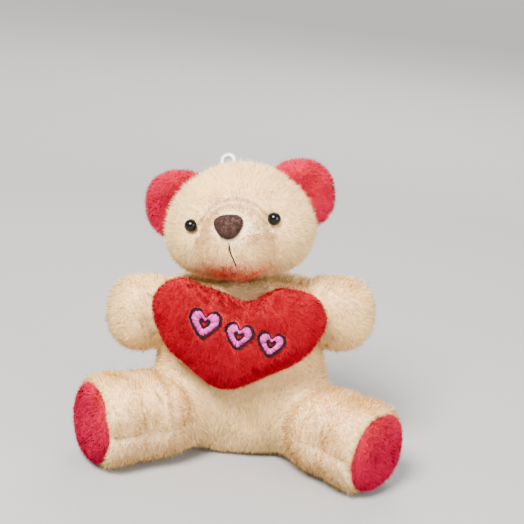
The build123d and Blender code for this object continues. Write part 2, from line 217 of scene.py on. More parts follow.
def puff(skin, held, pressure, limit):
    """Blows a skin up as slack cloth, held where held(local points) is true and moving at most limit mm."""
    held = held(skin.where.into(skin.points))
    obj = mesh_object("cloth", skin.points * MM * CLOTH_SCALE, skin.faces, [])
    group = obj.vertex_groups.new(name="held")
    group.add([int(i) for i in np.nonzero(held)[0]], 1.0, "REPLACE")
    cloth = obj.modifiers.new("cloth", "CLOTH")
    setup = cloth.settings
    setup.quality = 5
    setup.mass = 0.3
    setup.tension_stiffness = setup.compression_stiffness = 12
    setup.shear_stiffness = 4
    setup.bending_stiffness = 0.15
    setup.use_pressure = True
    setup.uniform_pressure_force = pressure
    setup.shrink_min = -CLOTH_SLACK
    setup.vertex_group_mass = "held"
    setup.effector_weights.gravity = 0
    cloth.collision_settings.use_collision = False
    cloth.point_cache.frame_end = CLOTH_FRAMES
    for step in range(1, CLOTH_FRAMES + 1):
        bpy.context.scene.frame_set(step)
    result = obj.evaluated_get(bpy.context.evaluated_depsgraph_get()).data
    flat = np.empty(len(result.vertices) * 3)
    result.vertices.foreach_get("co", flat)
    bpy.context.scene.frame_set(1)
    bpy.data.objects.remove(obj)
    shift = flat.reshape(-1, 3) / (MM * CLOTH_SCALE) - skin.points
    far = np.linalg.norm(shift, axis=1)
    skin.points = skin.points + shift * (np.minimum(far, limit) / np.maximum(far, 1e-9))[:, None]
    skin.normals = vertex_normals(skin.points, skin.faces)


FABRIC = 0.5  # thickness of the cloth, in mm


def skin_object(name, skin, faces, material):
    """Some of a skin's triangles as cloth with a thickness."""
    used, index = np.unique(faces, return_inverse=True)
    obj = mesh_object(name, skin.points[used] * MM, index.reshape(-1, 3), [material])
    thick = obj.modifiers.new("fabric", "SOLIDIFY")
    thick.thickness = FABRIC * MM
    thick.offset = -1
    return obj


# ---------------------------------------------------------------- pile
lay_noise = [waves(seed=40 + i, short=6, long=22) for i in range(3)]
tuft_noise = [waves(seed=50 + i, short=1.3, long=3.8, count=16) for i in range(3)]
patch_noise = waves(seed=60, short=7, long=24)
fine_patch = waves(seed=61, short=1.8, long=5, count=14)
STRAY_SHARE, STRAY_LENGTH, STRAY_LEAN = 0.14, 1.45, 0.45  # a few strands are longer and stand up
STREAK = 0.62  # how far tufts and tones stretch along the nap
SWAY = 0.4
SHORTEST = 0.12  # share of the length under which a strand is left out
ROOT_DEPTH = 0.25
BEND = 0.48  # share of a strand below its bend
BEND_WIDTH = 0.85
LEAN_BELOW, LEAN_ABOVE = 0.62, 1.15
LOWEST_PILE = 0.05  # pile under the body lies flat just above what the bear sits on


def unit(v):
    return v / np.maximum(np.linalg.norm(v, axis=1), 1e-9)[:, None]


def in_surface(vectors, n):
    """Vectors without the part that stands off the surface."""
    return vectors - n * (vectors * n).sum(1)[:, None]


def scatter(skin, faces, per_mm2):
    """Random points on some of a skin's triangles, with their normals."""
    a, b, c = (skin.points[faces[:, i]] for i in range(3))
    area = np.linalg.norm(np.cross(b - a, c - a), axis=1) / 2
    count = int(area.sum() * per_mm2)
    pick = rng.choice(len(faces), count, p=area / area.sum())
    u, v = rng.random(count), rng.random(count)
    flip = u + v > 1
    u, v = np.where(flip, 1 - u, u), np.where(flip, 1 - v, v)
    corners = faces[pick]
    weights = np.stack([1 - u - v, u, v], 1)[:, :, None]
    return (skin.points[corners] * weights).sum(1), unit((skin.normals[corners] * weights).sum(1))


def ribbon_object(name, points, normals, mats, index):
    """Ribbons of five points, a quad and a triangle above it, each with its own material and soft normals."""
    count = len(index)
    base = np.arange(count) * 5
    loops = np.stack([base, base + 1, base + 2, base + 3, base + 3, base + 2, base + 4], 1).reshape(-1)
    mesh = bpy.data.meshes.new(name)
    mesh.vertices.add(count * 5)
    mesh.vertices.foreach_set("co", (points * MM).astype(np.float32).reshape(-1))
    mesh.loops.add(count * 7)
    mesh.loops.foreach_set("vertex_index", loops.astype(np.int32))
    mesh.polygons.add(count * 2)
    start = np.stack([np.arange(count) * 7, np.arange(count) * 7 + 4], 1).reshape(-1)
    mesh.polygons.foreach_set("loop_start", start.astype(np.int32))
    mesh.polygons.foreach_set("material_index", np.repeat(index, 2).astype(np.int32))
    for m in mats:
        mesh.materials.append(m)
    mesh.update()
    mesh.validate()
    mesh.shade_smooth()
    mesh.normals_split_custom_set_from_vertices(normals.astype(np.float32))
    obj = bpy.data.objects.new(name, mesh)
    bpy.context.scene.collection.objects.link(obj)
    return obj


def pile(name, skin, faces, per_mm2, length, width, nap, tones, shorten=None, tone_of=None, lean_by=0.62):
    """Cut pile on some of a skin's triangles: thin tapered ribbons that lean along nap(points, normals).
    shorten(points) scales the length; tone_of(points) shifts the tone, which runs from 0 to 1."""
    p, n = scatter(skin, faces, per_mm2)
    scale = shorten(p) if shorten else np.ones(len(p))
    kept = scale > SHORTEST
    p, n, scale = p[kept], n[kept], scale[kept]
    count = len(p)

    flow = unit(in_surface(nap(p, n), n))
    sway = in_surface(np.stack([g(p) for g in lay_noise], 1) * SWAY, n)
    middle = skin.points.mean(0)
    streak = p - flow * ((p - middle) * flow).sum(1)[:, None] * STREAK
    tuft = in_surface(np.stack([g(streak) for g in tuft_noise], 1), n)
    long = length * scale * np.clip(rng.normal(1, 0.15, count) + fine_patch(streak) * 0.1, 0.5, 1.5)
    stray = rng.random(count) < STRAY_SHARE
    long = np.where(stray, long * STRAY_LENGTH, long)
    along = (flow + sway + rng.normal(0, 0.28, (count, 3))) * np.where(stray, STRAY_LEAN, 1)[:, None]
    first = unit(n + along * (lean_by * LEAN_BELOW) + tuft * 0.10)
    second = unit(n * 0.7 + along * lean_by * LEAN_ABOVE + tuft * 0.15)
    root = p - n * ROOT_DEPTH
    bend = p + first * (long * BEND)[:, None]
    tip = bend + second * (long * (1 - BEND))[:, None]
    side = unit(np.cross(second, n + rng.normal(0, 0.45, (count, 3))))
    wide = width * np.clip(rng.normal(1, 0.2, count), 0.5, 1.6)
    half = side * (wide / 2)[:, None]
    narrow = half * BEND_WIDTH
    points = np.stack([root - half, root + half, bend + narrow, bend - narrow, tip], 1).reshape(-1, 3)
    points[:, 2] = np.maximum(points[:, 2], LOWEST_PILE)

    clump = tuft * 0.14 + sway * 0.16
    shade = unit(n + clump + along * -0.12 + rng.normal(0, 0.2, (count, 3)))
    tip_shade = unit(n + clump * 0.8 + along * -0.05 + rng.normal(0, 0.16, (count, 3)))
    normals = np.stack([shade, shade, shade, shade, tip_shade], 1).reshape(-1, 3)

    tone = rng.random(count) * 0.5 + 0.25 + patch_noise(p) * 0.07 + fine_patch(streak) * 0.06
    if tone_of:
        tone = tone + tone_of(p)
    if callable(tones):
        mats, index = tones(p, tone)
    else:
        mats = tones
        index = np.clip((tone * len(tones)).astype(int), 0, len(tones) - 1)
    return ribbon_object(name, points, normals, mats, index)


# ---------------------------------------------------------------- materials
def material(name, color, rough=0.5, sheen=0.0, sheen_tint=None, coat=0.0, specular=0.5):
    m = bpy.data.materials.new(name)
    m.use_nodes = True
    b = m.node_tree.nodes["Principled BSDF"]
    b.inputs["Base Color"].default_value = (*color, 1)
    b.inputs["Roughness"].default_value = rough
    b.inputs["Specular IOR Level"].default_value = specular
    b.inputs["Sheen Weight"].default_value = sheen
    b.inputs["Sheen Roughness"].default_value = 0.5
    if sheen_tint:
        b.inputs["Sheen Tint"].default_value = (*sheen_tint, 1)
    b.inputs["Coat Weight"].default_value = coat
    return m


def vary(m, dark, light, scale, bump, bump_scale=900):
    """Colour that wanders between two tones, and a fine bump."""
    nodes, links = m.node_tree.nodes, m.node_tree.links
    b = nodes["Principled BSDF"]
    place = nodes.new("ShaderNodeTexCoord")
    noise = nodes.new("ShaderNodeTexNoise")
    noise.inputs["Scale"].default_value = scale
    noise.inputs["Detail"].default_value = 6
    ramp = nodes.new("ShaderNodeValToRGB")
    ramp.color_ramp.elements[0].position, ramp.color_ramp.elements[1].position = 0.35, 0.65
    ramp.color_ramp.elements[0].color = (*dark, 1)
    ramp.color_ramp.elements[1].color = (*light, 1)
    links.new(place.outputs["Object"], noise.inputs["Vector"])
    links.new(noise.outputs["Fac"], ramp.inputs["Fac"])
    links.new(ramp.outputs["Color"], b.inputs["Base Color"])
    grain = nodes.new("ShaderNodeTexNoise")
    grain.inputs["Scale"].default_value = bump_scale
    grain.inputs["Detail"].default_value = 3
    raised = nodes.new("ShaderNodeBump")
    raised.inputs["Strength"].default_value = bump
    raised.inputs["Distance"].default_value = 0.0004
    links.new(place.outputs["Object"], grain.inputs["Vector"])
    links.new(grain.outputs["Fac"], raised.inputs["Height"])
    links.new(raised.outputs["Normal"], b.inputs["Normal"])
    return m


CREAM = [(0.88, 0.55, 0.21), (0.92, 0.59, 0.23), (0.96, 0.64, 0.26), (0.98, 0.68, 0.30), (1.0, 0.75, 0.38)]
# Tan tones, used as painted shade over the face's muzzle, its crease and the brow.
PAINTED_SHADE_TAN = [(0.50, 0.26, 0.10), (0.62, 0.35, 0.14), (0.76, 0.46, 0.18)]
# Oranges to dark reds that the pile under the chin grows into.
CHIN_REDS = [(0.90, 0.42, 0.17), (0.80, 0.28, 0.12), (0.68, 0.16, 0.07), (0.55, 0.07, 0.035), (0.43, 0.02, 0.013)]
RED = [(0.26, 0.0, 0.005), (0.30, 0.0, 0.007), (0.34, 0.0, 0.010), (0.39, 0.001, 0.014), (0.47, 0.003, 0.022)]
PINK_RED = [
    (0.34, 0.0, 0.018), (0.39, 0.0, 0.026), (0.45, 0.001, 0.034), (0.51, 0.003, 0.044), (0.59, 0.01, 0.06),
]
BROWN = [(0.040, 0.018, 0.014), (0.068, 0.033, 0.026), (0.105, 0.055, 0.043), (0.18, 0.105, 0.085)]
PINK = [(0.22, 0.003, 0.10), (0.34, 0.006, 0.16), (0.48, 0.016, 0.24), (0.62, 0.06, 0.36)]
BLACK = [(0.002, 0.001, 0.002), (0.004, 0.002, 0.003), (0.010, 0.005, 0.007)]
PALE = [(0.86, 0.72, 0.50), (0.94, 0.84, 0.66)]


def palette(name, colors, *finish, **more):
    """One plain material for each tone."""
    return [material(f"{name}_{i}", color, *finish, **more) for i, color in enumerate(colors)]


cream_pile = palette("cream_pile", CREAM, 0.85, 0.12, (1, 0.85, 0.65), specular=0.15)
painted_shade_pile = palette("painted_shade_pile", PAINTED_SHADE_TAN, 0.85, specular=0.1)
chin_red_pile = palette("tinted_pile", CHIN_REDS, 0.85, specular=0.1)
red_pile = palette("red_pile", RED, 0.9, specular=0.0)
pink_red_pile = palette("ear_pile", PINK_RED, 0.9, specular=0.0)
flock = palette("nose_flock", BROWN, 0.9, 0.15, (0.8, 0.65, 0.6), specular=0.1)
pink_threads = palette("pink_thread", PINK, 0.4, specular=0.35)
black_threads = palette("black_thread", BLACK, 0.6, specular=0.15)
pale_threads = palette("pale_thread", PALE, 0.6, 0.2)
cream_backing = material("cream_backing", (0.96, 0.74, 0.45), 0.95)
vary(cream_backing, (0.94, 0.71, 0.42), (0.99, 0.78, 0.48), 160, bump=0.3)
red_backing = material("red_backing", (0.38, 0.001, 0.006), 0.95)
vary(red_backing, (0.30, 0.0, 0.004), (0.44, 0.001, 0.007), 160, bump=0.3)
CREAM_CLOTH = (cream_backing, "cream_plush")
RED_CLOTH = (red_backing, "red_plush")


# ---------------------------------------------------------------- head
# swellings of the head: centre, radii and, where it isn't 2, the power; in the head's frame, in mm
SKULL = (0, 0.3, 1.4), (22.6, 18.2, 18.4), 2.05
CHEEK_PLACE, CHEEK_RADII = (10.4, -2.0, -3.4), (13.2, 13.5, 12.0)
MUZZLE = (0.5, -12.2, -4.7), (12.6, 12.7, 12.9)
EYE_DIMPLE = 1.2
MUZZLE_GROOVE = 0.8


def past_muzzle(p):
    """How far outside the muzzle a point is, in mm; negative inside."""
    return blob(p, *MUZZLE)


def eye_gap(p):
    """Distance to the nearer eye's middle, in mm."""
    return np.minimum(*(np.linalg.norm(p - mirrored(EYE, side), axis=1) for side in SIDES.values()))


def head_form(p):
    """A round head with two cheeks, a muzzle with a groove over it, and a dimple at each eye."""
    d = blob(p, *SKULL)
    for side in (-1, 1):
        d = merge(d, blob(p, mirrored(CHEEK_PLACE, side), CHEEK_RADII), 6)
    muzzle = past_muzzle(p)
    groove = np.exp(-(((muzzle - 0.2) / 1.0) ** 2)) * (p[:, 1] < -8) * np.clip((p[:, 2] + 9) / 8, 0, 1)
    d = merge(d, muzzle, 0.9) + MUZZLE_GROOVE * groove
    return d + EYE_DIMPLE * np.exp(-((eye_gap(p) / 3.2) ** 2))


head_skin = Skin(head, head_form, (0, -3, -1), reach=60, bumps=0.25, seed=3)


NAP_START = (0, -24.0, 1.5)  # just over the nose


def head_nap(p, n):
    """Back from the nose over the face, and down behind."""
    q = head.into(p)
    away = unit(q - np.array(NAP_START))
    flow = head.turn(away)
    down = head.turn(np.tile((0, 0.1, -1.0), (len(p), 1)))
    behind = np.clip((q[:, 1] + 2) / 10, 0, 1)[:, None]
    muzzle = np.clip(1 - past_muzzle(q) / 2, 0, 1)[:, None]
    return flow * (1 - behind) + down * behind + flow * muzzle * 0.5


def head_short(p):
    """Pile is short round the eyes, nose, mouth, ears and muzzle seam."""
    q = head.into(p)
    gap = eye_gap(q)
    keep = np.clip((gap - 1.2) / 3.0, 0.3, 1) * (gap > 1.9)
    nose = np.linalg.norm((q - NOSE_PLACE) / np.array((4.6, 6, 4.0)), axis=1)
    keep *= np.clip((nose - 0.8) / 0.8, 0, 1)
    muzzle = past_muzzle(q)
    seam = (q[:, 1] < -6) & (q[:, 2] > -3)
    keep *= np.where(seam, 1 - 0.6 * np.exp(-((np.abs(muzzle) / 0.9) ** 2)), 1)
    keep *= np.where(muzzle < 0.5, 0.75, 1)
    mouth = (np.abs(q[:, 0] - 0.3) < 0.5) & (q[:, 1] < -14) & (q[:, 2] < -4) & (q[:, 2] > -15)
    keep *= np.where(mouth, 0.35, 1)
    for side in SIDES.values():
        ear = np.linalg.norm((q - mirrored(EAR_PLACE, side)) / np.array((10.5, 2.6, 10.5)), axis=1)
        keep *= np.clip((ear - 0.8) / 0.25, 0, 1)
    return keep


CHIN, CHIN_SPREAD = (-2.0, -16.0, -16.0), (11.0, 9.0, 4.2)
LEAST_CHIN_RED = 0.12


def head_tones(p, tone):
    """Cream, with painted shade in tan over the brow, the muzzle's top and its crease; the pile is redder and
    darker under the chin.
    """
    q = head.into(p)
    muzzle = past_muzzle(q)
    front = q[:, 1] < -7
    upper = np.clip((q[:, 2] + 9) / 6, 0, 1)
    # Painted shade: the pile turns tan over the muzzle's top, in the muzzle's crease and over the middle of
    # the brow.
    muzzle_shade = np.clip(0.9 - muzzle / 2.5, 0, 1) * front * upper
    crease = np.exp(-(((muzzle - 0.5) / 0.9) ** 2)) * front * np.clip((q[:, 2] + 13) / 4, 0, 1)
    brow = np.exp(-((q[:, 0] / 10) ** 2) - ((q[:, 2] - 8) / 7) ** 2) * front
    tone = tone + 0.12 - 0.75 * muzzle_shade - 0.7 * crease - 0.5 * brow
    index = np.clip(np.floor(tone * len(CREAM)).astype(int) + len(PAINTED_SHADE_TAN), 0, len(PAINTED_SHADE_TAN) + len(CREAM) - 1)

    # The pile grows redder and darker towards the middle of the chin's underside.
    chin = np.exp(-(((q - CHIN) / CHIN_SPREAD) ** 2).sum(1))
    chin_red = chin * (0.95 + 0.22 * patch_noise(p) + 0.1 * fine_patch(p)) + rng.normal(0, 0.07, len(p))
    tint = np.clip((chin_red * len(CHIN_REDS)).astype(int), 0, len(CHIN_REDS) - 1)
    index = np.where(chin_red > LEAST_CHIN_RED, len(PAINTED_SHADE_TAN) + len(CREAM) + tint, index)
    return painted_shade_pile + cream_pile + chin_red_pile, index


def plush(
    name, skin, test, body, cloth, nodes, density, length, width, nap, tones, fill, halves=False, **more
):
    """A skin with its pile, riding on a body and standing for CAD nodes. A large pile is made in two halves.
    The pile has density strands on each square mm, with length and width in mm."""
    backing, slot = cloth
    faces = skin.keep(test)
    cover = skin_object(f"{name}_skin", skin, faces, backing)
    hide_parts(*nodes)
    parts = {"": faces}
    if halves:
        left = skin.points[faces].mean(1)[:, 0] > 0
        parts = {"_left": faces[left], "_right": faces[~left]}
    furs = [
        pile(f"{name}{part}_pile", skin, some, density, length, width, nap, tones, **more)
        for part, some in parts.items()
    ]
    for o in [cover, *furs]:
        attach(o, body)


inner_pieces = [
    "muzzle_panel", "muzzle_filling", "head_filling", "nose_washer", "left_eye_washer", "right_eye_washer",
]
plush(
    "head_face", head_skin, lambda q: q[:, 1] < 0, "head", CREAM_CLOTH, ["head_face_panel", *inner_pieces],
    density=20, length=1.75, width=0.1, nap=head_nap, tones=head_tones, fill=0.8, shorten=head_short,
)
plush(
    "head_back", head_skin, lambda q: q[:, 1] >= 0, "head", CREAM_CLOTH, ["head_back_panel"],
    density=14, length=1.6, width=0.12, nap=head_nap, tones=head_tones, fill=0.8, shorten=head_short,
)


# ---------------------------------------------------------------- ears
EAR_RADIUS, EAR_CUP = 11.2, 1.3
EAR_SEAM = 0.4  # the red front reaches a little behind the middle


def ear_form(p):
    """A flat round ear, cupped in front."""
    d = blob(p, (0, 0, 0), (EAR_RADIUS, 3.2, EAR_RADIUS), 2.3)
    rho = np.linalg.norm(p[:, (0, 2)], axis=1) / EAR_RADIUS
    return d + np.where(p[:, 1] < 0, EAR_CUP * np.exp(-((rho / 0.5) ** 2)), 0)


def outside_head(p):
    return np.clip((head_form(head.into(p)) + 0.4) / 0.8, 0, 1)


for side_name, side in SIDES.items():
    where = ear_frame(side)
    ear_skin = Skin(where, ear_form, (0, 0.6, 0), reach=30, bumps=0.15, seed=7 + side, detail=5)

    def ear_nap(p, n, where=where):
        q = where.into(p)
        return where.turn(unit(q * np.array((0.5, 0.0, 0.5)) + np.array((0, 0, -4.0))))

    plush(
        f"{side_name}_ear_front", ear_skin, lambda q: q[:, 1] < EAR_SEAM, "head", RED_CLOTH,
        [f"{side_name}_ear_front_panel"], density=24, length=1.35, width=0.1,
        nap=ear_nap, tones=pink_red_pile, fill=0.3, shorten=outside_head, tone_of=lambda p: 0.06,
    )
    plush(
        f"{side_name}_ear_back", ear_skin, lambda q: q[:, 1] >= EAR_SEAM, "head", CREAM_CLOTH,
        [f"{side_name}_ear_back_panel"], density=18, length=1.35, width=0.11,
        nap=ear_nap, tones=cream_pile, fill=0.3, shorten=outside_head,
    )


# ---------------------------------------------------------------- heart outline
HEART_OUTLINE = [
    (2.7, 11.6), (-9.9, 15.8), (-20.8, 18.9), (-28.7, 12.0), (-26.5, -1.6), (-15.1, -14.0),
    (-6.4, -18.7), (6.8, -16.2), (21.8, -7.8), (28.9, 3.1), (25.5, 12.7), (14.6, 15.2),
]


def smooth_loop(points, count=720):
    """A closed smooth curve through points."""
    p = np.array(points, float)
    n = len(p)
    t = np.linspace(0, n, count, endpoint=False)
    i, f = t.astype(int), t - t.astype(int)
    a, b, c, d = (p[(i + k) % n] for k in (-1, 0, 1, 2))
    f = f[:, None]
    return 0.5 * (2 * b + (c - a) * f + (2 * a - 5 * b + 4 * c - d) * f**2 + (3 * b - a - 3 * c + d) * f**3)


heart_edge = smooth_loop(HEART_OUTLINE)
edge_angle = np.arctan2(heart_edge[:, 1], heart_edge[:, 0])
edge_order = np.argsort(edge_angle)
edge_angle = edge_angle[edge_order]
edge_radius = np.linalg.norm(heart_edge, axis=1)[edge_order]


def heart_share(p):
    """How far out a local point is: 0 at the middle, 1 at the seam."""
    angle = np.arctan2(p[:, 1], p[:, 0])
    radius = np.interp(angle, edge_angle, edge_radius, period=2 * pi)
    return np.linalg.norm(p[:, :2], axis=1) / (radius - 0.7)


# ---------------------------------------------------------------- torso
TORSO_SEAM = -1  # the side seams' place, front to back
# swellings of the torso: centre, radii and power; hips in the legs' frames, shoulders in the arms'
BELLY = (0, -1, 21.5), (28.4, 17.8, 26), 2.5
CHEST = (0, -1.8, 42), (23, 15.8, 22.0), 2.5
HIP_SWELL = (-1.0, 0, -0.3), (11.6, 12.0, 12.4)
SHOULDER_SWELL = (-1.5, 0, 0), (9.3, 9.3, 9.8)


def torso_form(p):
    """A pear-shaped body, swollen at the hips and shoulders and flat underneath."""
    d = merge(blob(p, *BELLY), blob(p, *CHEST), 8)
    world = lean.out(p)
    for leg in SIDES:
        d = merge(d, blob(leg_frame(leg).into(world), *HIP_SWELL), 9)
    for side in SIDES.values():
        d = merge(d, blob(arm_frame(side).into(world), *SHOULDER_SWELL), 8)
    return trim(d, 0.6 - world[:, 2], 3.5)


torso_skin = Skin(lean, torso_form, (0, -1, 28), reach=70, bumps=0.35, seed=11)


def limb_clear(p):
    """No pile where a limb or the cushion covers the torso."""
    keep = np.ones(len(p))
    for side in SIDES.values():
        gap = np.linalg.norm(p - arm_frame(side).o, axis=1)
        keep *= np.clip((gap - 7.0) / 1.5, 0, 1)
    for leg in SIDES:
        gap = np.linalg.norm(p - leg_frame(leg).o, axis=1)
        keep *= np.clip((gap - 9.0) / 1.5, 0, 1)
    keep *= np.clip((p[:, 2] - 0.6) / 2.2, 0.0, 1)
    q = heart.into(p)
    behind_cushion = (p[:, 1] < -8) & (np.abs(q[:, 2]) < 16) & (heart_share(q) < 0.45)
    return np.where(behind_cushion, 0, keep)


def torso_nap(p, n):
    """Down the bear's front and back."""
    return np.tile(-lean.a[2], (len(p), 1))


plush(
    "torso_front", torso_skin, lambda q: q[:, 1] < TORSO_SEAM, "torso", CREAM_CLOTH,
    ["torso_front_panel", "torso_filling", "heart_tack_threads"],
    density=17, length=1.75, width=0.105,
    nap=torso_nap, tones=cream_pile, fill=0.7, halves=True, shorten=limb_clear,
)


def back_short(p):
    """The back's pile is parted along its middle seam."""
    q = lean.into(p)
    return limb_clear(p) * (1 - 0.5 * np.exp(-((q[:, 0] / 0.9) ** 2)))


plush(
    "torso_back", torso_skin, lambda q: q[:, 1] >= TORSO_SEAM, "torso", CREAM_CLOTH,
    ["torso_left_back_panel", "torso_right_back_panel"],
    density=12.5, length=1.6, width=0.12, nap=torso_nap, tones=cream_pile, fill=0.7, shorten=back_short,
)


# ---------------------------------------------------------------- arms
SHOULDER_BALL = (0, 0, 0), (9.9, 9.9, 9.9)
PAW = (9.6, 0, 0), (11.5, 10.4, 11.0), 2.5


def arm_form(p):
    """A short stump with a ball inside the shoulder."""
    return merge(blob(p, *SHOULDER_BALL), blob(p, *PAW), 4)


for side_name, side in SIDES.items():
    body = f"{side_name}_arm"
    where = arm_frame(side)
    arm_skin = Skin(where, arm_form, (4, 0, 0), reach=40, bumps=0.3, seed=21 + side, detail=5)
    puff(arm_skin, lambda q: (np.abs(q[:, 1]) < SEAM_HELD) | (q[:, 0] < 2), pressure=4.0, limit=0.7)

    def arm_nap(p, n, where=where):
        return np.tile(where.a[0] * 0.8 + np.array((0, 0, -0.35)), (len(p), 1))

    def arm_short(p, where=where):
        q = where.into(p)
        buried = torso_form(lean.into(p))
        return np.clip((buried + 1.0) / 1.5, 0, 1) * (1 - 0.4 * np.exp(-((q[:, 1] / 0.8) ** 2)))

    for panel, test in (("front", lambda q: q[:, 1] >= 0), ("back", lambda q: q[:, 1] < 0)):
        filling = [f"{body}_filling"] if panel == "front" else []
        plush(
            f"{body}_{panel}", arm_skin, test, body, CREAM_CLOTH, [f"{body}_{panel}_panel", *filling],
            density=20, length=1.9, width=0.1, nap=arm_nap, tones=cream_pile, fill=0.8, shorten=arm_short,
        )


# ---------------------------------------------------------------- legs and soles
def leg_form(p, length):
    """A stuffed leg from the ball inside the hip to the flat sole, flattened underneath."""
    d = blob(p, (0, 0, 0), (12.2, 12.2, 12.4))
    d = merge(d, blob(p, (length * 0.44, 0, 0), (length * 0.56 + 2, 13.1, 13.3), 2.5), 6)
    d = merge(d, blob(p, (length - 6.5, 0, 0), (9, 12.7, 12.9), 2.2), 5)
    d = trim(d, p[:, 0] - (length - 1.0), 3.5)
    return trim(d, -14.2 - p[:, 2], 3)


SOLE_SET_IN = 2.4  # of the pad's middle, from the leg's end


def sole_form(p, length):
    """A domed pad on the end of the leg."""
    return blob(p, (length - SOLE_SET_IN, 0, 0), (4.1, 12.6, 12.7), 2.3)


for side_name, side in SIDES.items():
    where = leg_frame(side_name)
    body = f"{side_name}_leg"
    length = LEG_LENGTH[side_name]
    leg_skin = Skin(where, lambda p: leg_form(p, length), (9, 0, 0), reach=50, bumps=0.3, seed=31 + side)

    def held_leg(q):
        ends = (q[:, 0] < 3) | (q[:, 0] > length - 3)
        return (np.abs(q[:, 2]) < SEAM_HELD) | ends | (q[:, 2] < -11)

    puff(leg_skin, held_leg, pressure=4.0, limit=0.45)

    def leg_nap(p, n, where=where):
        return np.tile(where.a[0] + np.array((0, 0, -0.25)), (len(p), 1))

    def leg_short(p, where=where, length=length):
        q = where.into(p)
        buried = torso_form(lean.into(p))
        keep = np.clip((buried + 1.0) / 0.8, 0, 1)
        keep *= 1 - 0.35 * np.exp(-((q[:, 2] / 0.8) ** 2))
        pad = sole_form(q, length)
        keep *= np.clip((pad + 0.2) / 0.8, 0, 1)
        keep *= 1 + 0.45 * np.exp(-(((q[:, 0] - length + 2.5) / 2.2) ** 2))
        return keep * np.clip((p[:, 2] - 0.2) / 2.2, 0.25, 1)

    for panel, test in (("top", lambda q: q[:, 2] >= 0), ("under", lambda q: q[:, 2] < 0)):
        filling = [f"{body}_filling"] if panel == "top" else []
        plush(
            f"{body}_{panel}", leg_skin, test, body, CREAM_CLOTH, [f"{body}_{panel}_panel", *filling],
            density=20 if panel == "top" else 13, length=1.8, width=0.1,
            nap=leg_nap, tones=cream_pile, fill=0.8, shorten=leg_short,
        )

    sole_centre = (length - SOLE_SET_IN, 0, 0)
    sole_skin = Skin(
        where, lambda p: sole_form(p, length), sole_centre, reach=20, bumps=0.1, seed=41 + side, detail=5
    )

    def sole_nap(p, n):
        return np.tile((0.0, 0.0, -1.0), (len(p), 1))

    plush(
        f"{side_name}_sole", sole_skin, lambda q: q[:, 0] > length - 2.6, body, RED_CLOTH,
        [f"{side_name}_sole_pad"], density=26, length=1.15, width=0.095, nap=sole_nap, tones=pink_red_pile,
        # tone_of paints the soles lighter than the ears' pile of the same reds: painted light, standing in
        # for key light that reaches the soles less.
        fill=0.3, tone_of=lambda p: 0.2,
    )


# ---------------------------------------------------------------- heart cushion
HEART_HALF_DEPTH = 5.0


def heart_form(p):
    """A cushion on the heart's outline, before it is blown up."""
    share = heart_share(p)
    flat = np.abs(p[:, 2]) / HEART_HALF_DEPTH
    return (share**2.4 + flat**2.0) - 1


heart_skin = Skin(heart, heart_form, (0, 0, 0), reach=60, bumps=0.25, seed=51)
puff(heart_skin, lambda q: np.abs(q[:, 2]) < SEAM_HELD, pressure=5.0, limit=0.9)

# each small heart's place in the cushion's plane, and its share of the motif's width
MOTIF_PLACES = [(-11.4, 4.4, 1.12), (0.0, 0.2, 1.0), (10.6, -2.6, 0.96)]
MOTIF_WIDTH = 9.6
MOTIF_HOLE = 0.26  # share of the outline at which the embroidered band ends inside
LOOP_POINTS = 240
MOTIF_TILT = radians(-12)
MOTIF_OUTLINE = [
    (0, 0.45), (-0.42, 0.84), (-0.88, 0.7), (-1, 0.2), (-0.6, -0.42),
    (0, -0.95), (0.6, -0.42), (1, 0.2), (0.88, 0.7), (0.42, 0.84),
]


def motif_loop(place, share):
    """One small heart's outline at a share of its size, in the cushion's plane."""
    half = MOTIF_WIDTH * place[2] / 2
    loop = smooth_loop(MOTIF_OUTLINE, LOOP_POINTS) * half * share
    turn = np.array([(cos(MOTIF_TILT), sin(MOTIF_TILT)), (-sin(MOTIF_TILT), cos(MOTIF_TILT))])
    return loop @ turn + np.array(place[:2])


motif_band = [(motif_loop(m, MOTIF_HOLE), motif_loop(m, 1.0)) for m in MOTIF_PLACES]
motif_dots = np.concatenate(
    [inner * (1 - k) + outer * k for inner, outer in motif_band for k in (0, 0.25, 0.5, 0.75, 1)]
)
FAR = 99.0


def near_motif(xy):
    """Distance to the embroidery, in mm."""
    gap = np.full(len(xy), FAR)
    for i in range(0, len(motif_dots), 60):
        chunk = motif_dots[i : i + 60 : 3]
        gap = np.minimum(gap, np.linalg.norm(xy[:, None, :] - chunk[None], axis=2).min(1))
    return gap


def heart_short(p):
    """No pile under the embroidery, short pile beside it and at the seam."""
    q = heart.into(p)
    keep = np.ones(len(p))
    front = q[:, 2] > 0
    gap = np.full(len(p), FAR)
    close = front & (heart_share(q) < 0.75)
    gap[close] = near_motif(q[close][:, :2])
    keep *= np.where(gap < 0.45, 0, np.clip(0.45 + (gap - 0.45) / 2.0, 0, 1))
    keep *= 1 - 0.35 * np.exp(-((q[:, 2] / 0.7) ** 2))
    return keep


def heart_nap(p, n):
    """Down the cushion, fanning out a little to its sides."""
    q = heart.into(p)
    return heart.turn(np.stack([q[:, 0] * 0.25, -np.ones(len(q)) * 8, 0 * q[:, 0]], 1) / 8)


for panel, test in (("front", lambda q: q[:, 2] >= 0), ("back", lambda q: q[:, 2] < 0)):
    filling = ["heart_filling"] if panel == "front" else []
    plush(
        f"heart_{panel}", heart_skin, test, "torso", RED_CLOTH, [f"heart_{panel}_panel", *filling],
        density=28 if panel == "front" else 12, length=1.3, width=0.09,
        nap=heart_nap, tones=red_pile, fill=0.75, shorten=heart_short,
    )


